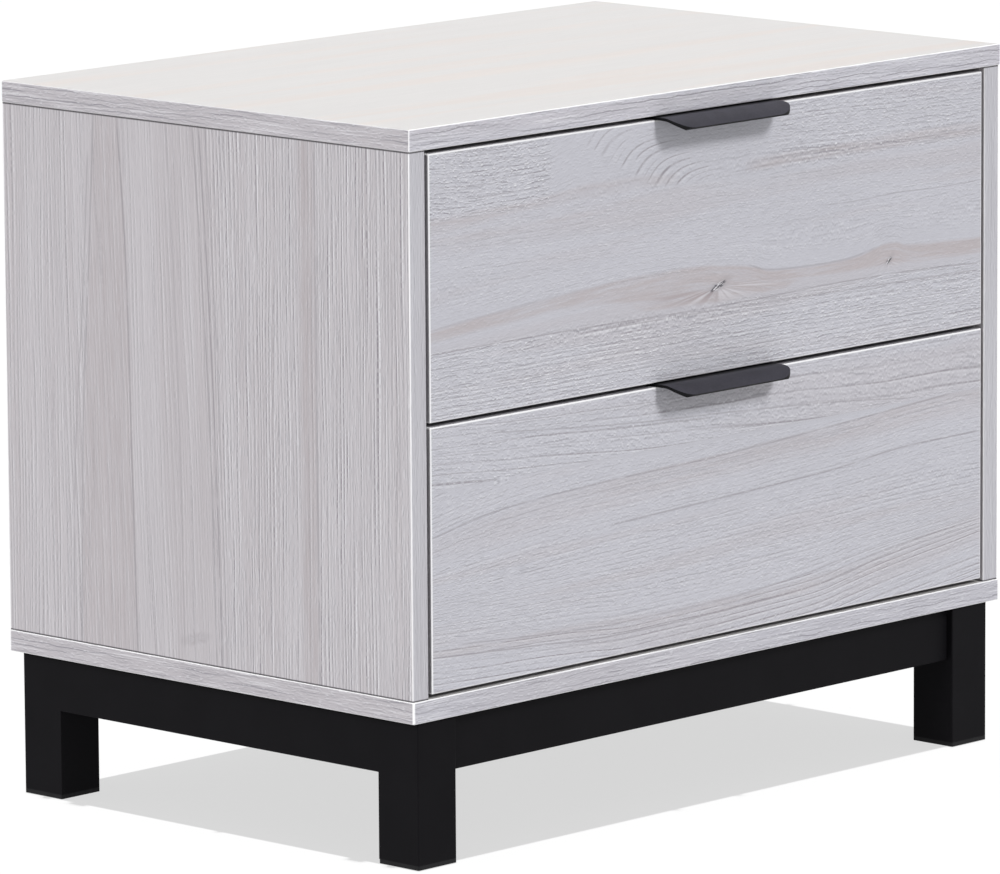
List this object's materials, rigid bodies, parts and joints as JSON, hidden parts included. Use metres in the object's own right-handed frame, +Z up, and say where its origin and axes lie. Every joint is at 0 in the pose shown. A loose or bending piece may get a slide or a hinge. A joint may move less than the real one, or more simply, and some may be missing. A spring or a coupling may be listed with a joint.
{
  "type": "nightstand with drawers",
  "caption": "Low bedside cabinet in pale washed wood-grain board, with drawers on ball slides, dark edge pulls and a black square-tube base",
  "frame": {"origin": "on the floor, at the middle of the overall footprint with the pulls counted", "axes": "+X to the right seen from the front, +Y to the back, +Z up; the drawers open towards -Y"},
  "size_m": [0.6, 0.4118, 0.5],
  "materials": {
    "washed_laminate": "pale washed wood-grain laminate, matt",
    "box_board": "plain pale foil on board",
    "thin_sheet": "thin sheet with a pale painted face",
    "pull_coat": "dark satin coat on bent plate",
    "base_coat": "black powder coat",
    "cap_plastic": "moulded, matt",
    "slide_steel": "bright zinc plate",
    "zinc_steel": "zinc plated",
    "cam_alloy": "cast zinc alloy",
    "dowel_wood": "plain beech"
  },
  "bodies": {
    "cabinet": {"top_panel": "washed_laminate", "bottom_panel": "washed_laminate", "left_side_panel": "washed_laminate", "right_side_panel": "washed_laminate", "back_panel": "thin_sheet", "cabinet_cam_locks": "cam_alloy", "cabinet_cam_bolts": "zinc_steel", "cabinet_dowels": "dowel_wood", "front_left_leg": "base_coat", "front_right_leg": "base_coat", "rear_left_leg": "base_coat", "rear_right_leg": "base_coat", "front_rail": "base_coat", "rear_rail": "base_coat", "left_rail": "base_coat", "right_rail": "base_coat", "leg_caps": "cap_plastic", "base_bolts": "zinc_steel", "insert_nuts": "zinc_steel", "upper_left_cabinet_slide": "slide_steel", "upper_right_cabinet_slide": "slide_steel", "lower_left_cabinet_slide": "slide_steel", "lower_right_cabinet_slide": "slide_steel", "cabinet_slide_screws": "zinc_steel"},
    "upper_drawer": {"upper_drawer_front": "washed_laminate", "upper_drawer_left_side": "box_board", "upper_drawer_right_side": "box_board", "upper_drawer_back": "box_board", "upper_drawer_bottom": "thin_sheet", "upper_pull": "pull_coat", "upper_pull_screws": "zinc_steel", "upper_drawer_cam_locks": "cam_alloy", "upper_drawer_cam_bolts": "zinc_steel", "upper_drawer_corner_screws": "zinc_steel", "upper_left_drawer_slide": "slide_steel", "upper_right_drawer_slide": "slide_steel", "upper_drawer_slide_screws": "zinc_steel"},
    "upper_middle_slides": {"upper_left_middle_slide": "slide_steel", "upper_right_middle_slide": "slide_steel"},
    "upper_outer_balls": {"upper_outer_retainers": "slide_steel"},
    "upper_inner_balls": {"upper_inner_retainers": "slide_steel"},
    "lower_drawer": {"lower_drawer_front": "washed_laminate", "lower_drawer_left_side": "box_board", "lower_drawer_right_side": "box_board", "lower_drawer_back": "box_board", "lower_drawer_bottom": "thin_sheet", "lower_pull": "pull_coat", "lower_pull_screws": "zinc_steel", "lower_drawer_cam_locks": "cam_alloy", "lower_drawer_cam_bolts": "zinc_steel", "lower_drawer_corner_screws": "zinc_steel", "lower_left_drawer_slide": "slide_steel", "lower_right_drawer_slide": "slide_steel", "lower_drawer_slide_screws": "zinc_steel"},
    "lower_middle_slides": {"lower_left_middle_slide": "slide_steel", "lower_right_middle_slide": "slide_steel"},
    "lower_outer_balls": {"lower_outer_retainers": "slide_steel"},
    "lower_inner_balls": {"lower_inner_retainers": "slide_steel"}
  },
  "joints": [
    {"name": "upper_drawer_slide", "type": "slide", "parent": "cabinet", "child": "upper_drawer", "axis": [0, -1, 0], "range_m": [0, 0.33]},
    {"name": "upper_middle_slide", "type": "slide", "parent": "cabinet", "child": "upper_middle_slides", "axis": [0, -1, 0], "range_m": [0, 0.165]},
    {"name": "upper_outer_balls_roll", "type": "slide", "parent": "cabinet", "child": "upper_outer_balls", "axis": [0, -1, 0], "range_m": [0, 0.0825]},
    {"name": "upper_inner_balls_roll", "type": "slide", "parent": "cabinet", "child": "upper_inner_balls", "axis": [0, -1, 0], "range_m": [0, 0.2475]},
    {"name": "lower_drawer_slide", "type": "slide", "parent": "cabinet", "child": "lower_drawer", "axis": [0, -1, 0], "range_m": [0, 0.33]},
    {"name": "lower_middle_slide", "type": "slide", "parent": "cabinet", "child": "lower_middle_slides", "axis": [0, -1, 0], "range_m": [0, 0.165]},
    {"name": "lower_outer_balls_roll", "type": "slide", "parent": "cabinet", "child": "lower_outer_balls", "axis": [0, -1, 0], "range_m": [0, 0.0825]},
    {"name": "lower_inner_balls_roll", "type": "slide", "parent": "cabinet", "child": "lower_inner_balls", "axis": [0, -1, 0], "range_m": [0, 0.2475]}
  ],
  "couplings": [
    {"joint": "upper_middle_slide", "follows": "upper_drawer_slide", "ratio": 0.5},
    {"joint": "upper_outer_balls_roll", "follows": "upper_drawer_slide", "ratio": 0.25},
    {"joint": "upper_inner_balls_roll", "follows": "upper_drawer_slide", "ratio": 0.75},
    {"joint": "lower_middle_slide", "follows": "lower_drawer_slide", "ratio": 0.5},
    {"joint": "lower_outer_balls_roll", "follows": "lower_drawer_slide", "ratio": 0.25},
    {"joint": "lower_inner_balls_roll", "follows": "lower_drawer_slide", "ratio": 0.75}
  ]
}
